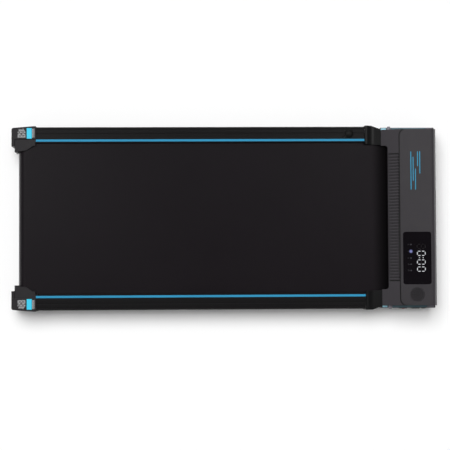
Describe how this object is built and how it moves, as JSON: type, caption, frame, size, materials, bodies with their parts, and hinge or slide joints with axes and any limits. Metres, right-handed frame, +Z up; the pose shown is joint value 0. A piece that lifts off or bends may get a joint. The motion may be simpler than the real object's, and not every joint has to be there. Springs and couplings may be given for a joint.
{
  "type": "walking treadmill",
  "caption": "Low under-desk walking treadmill: belt over a deck and two rollers, ridged foot rails, rear caps and a front motor hood with a console.",
  "frame": {"origin": "on the floor, under the middle of the machine's box", "axes": "+X forward from the rear roller to the motor hood, +Y to the walker's left, +Z up"},
  "size_m": [1.272, 0.554, 0.132],
  "materials": {
    "frame_paint": "black powder coat, satin",
    "steel": "zinc plated, ground",
    "cast_alloy": "as cast, light",
    "rail_alloy": "black anodised extrusion, satin",
    "cover_plastic": "fine moulded grain",
    "panel_plastic": "fine moulded grain, slight sheen",
    "joint_plastic": "semi-gloss",
    "cap_plastic": "fine moulded grain",
    "belt_rubber": "fine diamond texture, matt",
    "black_rubber": "smooth, semi-matt",
    "deck_wood": "phenolic coated fibreboard",
    "stripe_blue": "satin",
    "strip_teal": "satin",
    "strip_light": "satin",
    "fitting_grey": "satin",
    "label_cyan": "printed film",
    "black_plastic": "satin",
    "red_plastic": "gloss",
    "white_plastic": "gloss",
    "circuit_green": "solder mask",
    "display_black": "polished",
    "digit_white": "lit segments",
    "cable_black": "smooth sheath"
  },
  "bodies": {
    "root": {"frame_tube_left": "frame_paint", "frame_tube_right": "frame_paint", "crossbars": "frame_paint", "motor_tray": "frame_paint", "rear_brackets": "frame_paint", "motor_can": "frame_paint", "deck_screws": "steel", "front_axle": "steel", "rear_axle": "steel", "motor_cradle": "steel", "wheel_axles": "steel", "cover_screws": "steel", "motor_end_bells": "cast_alloy", "controller_heatsink": "cast_alloy", "foot_rail_left": "rail_alloy", "foot_rail_right": "rail_alloy", "hood_shell": "cover_plastic", "base_pan": "cover_plastic", "console_panel": "panel_plastic", "speaker_grille": "panel_plastic", "joint_cap_left": "joint_plastic", "joint_cap_right": "joint_plastic", "rear_cap_left": "cap_plastic", "rear_cap_right": "cap_plastic", "running_belt": "belt_rubber", "deck_cushions": "black_rubber", "drive_belt": "black_rubber", "plug_anchor": "black_rubber", "rubber_feet": "black_rubber", "deck_board": "deck_wood", "rail_stripes": "stripe_blue", "side_strips": "strip_teal", "strip_lenses": "strip_light", "strip_fittings": "fitting_grey", "cap_labels": "label_cyan", "speed_sensor": "black_plastic", "power_inlet": "black_plastic", "switch_frame": "black_plastic", "breaker_body": "black_plastic", "speaker_driver": "black_plastic", "controller_board": "circuit_green", "display_board": "circuit_green", "display_lens": "display_black", "display_digits": "digit_white", "wiring_harness": "cable_black"},
    "front_roller": {"front_roller": "steel", "front_roller_bearings": "steel", "roller_pulley": "black_plastic"},
    "rear_roller": {"rear_roller": "steel", "rear_roller_bearings": "steel"},
    "rotor": {"motor_rotor": "steel", "motor_pulley": "cast_alloy", "motor_flywheel": "cast_alloy"},
    "wheel_left": {"wheel_left": "black_rubber"},
    "wheel_right": {"wheel_right": "black_rubber"},
    "switch_rocker": {"switch_rocker": "red_plastic"},
    "breaker_button": {"breaker_button": "white_plastic"},
    "oil_plug": {"oil_plug": "black_rubber"},
    "tension_bolt_left": {"tension_bolt_left": "steel"},
    "tension_bolt_right": {"tension_bolt_right": "steel"}
  },
  "joints": [
    {"name": "front_roller_spin", "type": "hinge", "parent": "root", "child": "front_roller", "pos_m": [0.5, 0, 0.0647], "axis": [0, 1, 0], "continuous": true},
    {"name": "rear_roller_spin", "type": "hinge", "parent": "root", "child": "rear_roller", "pos_m": [-0.594, 0, 0.0647], "axis": [0, 1, 0], "continuous": true},
    {"name": "rotor_spin", "type": "hinge", "parent": "root", "child": "rotor", "pos_m": [0.584, 0, 0.068], "axis": [0, 1, 0], "continuous": true},
    {"name": "wheel_left_spin", "type": "hinge", "parent": "root", "child": "wheel_left", "pos_m": [0.606, 0.236, 0.025], "axis": [0, 1, 0], "continuous": true},
    {"name": "wheel_right_spin", "type": "hinge", "parent": "root", "child": "wheel_right", "pos_m": [0.606, -0.236, 0.025], "axis": [0, 1, 0], "continuous": true},
    {"name": "switch_tilt", "type": "hinge", "parent": "root", "child": "switch_rocker", "pos_m": [0.5415, -0.2695, 0.052], "axis": [0, 0, 1], "range_deg": [0, 16]},
    {"name": "breaker_press", "type": "slide", "parent": "root", "child": "breaker_button", "axis": [0, 1, 0], "range_m": [0, 0.0025], "stiffness_N_per_m": 300},
    {"name": "oil_plug_swing", "type": "hinge", "parent": "root", "child": "oil_plug", "pos_m": [0.3658, 0.2446, 0.0957], "axis": [0.6, -0.8, 0], "range_deg": [0, 110]},
    {"name": "tension_left_turn", "type": "hinge", "parent": "root", "child": "tension_bolt_left", "pos_m": [-0.606, 0.243, 0.0647], "axis": [1, 0, 0], "range_deg": [-180, 180]},
    {"name": "tension_right_turn", "type": "hinge", "parent": "root", "child": "tension_bolt_right", "pos_m": [-0.606, -0.243, 0.0647], "axis": [1, 0, 0], "range_deg": [-180, 180]}
  ],
  "couplings": [
    {"joint": "rear_roller_spin", "follows": "front_roller_spin", "ratio": 1},
    {"joint": "rotor_spin", "follows": "front_roller_spin", "ratio": 3}
  ]
}
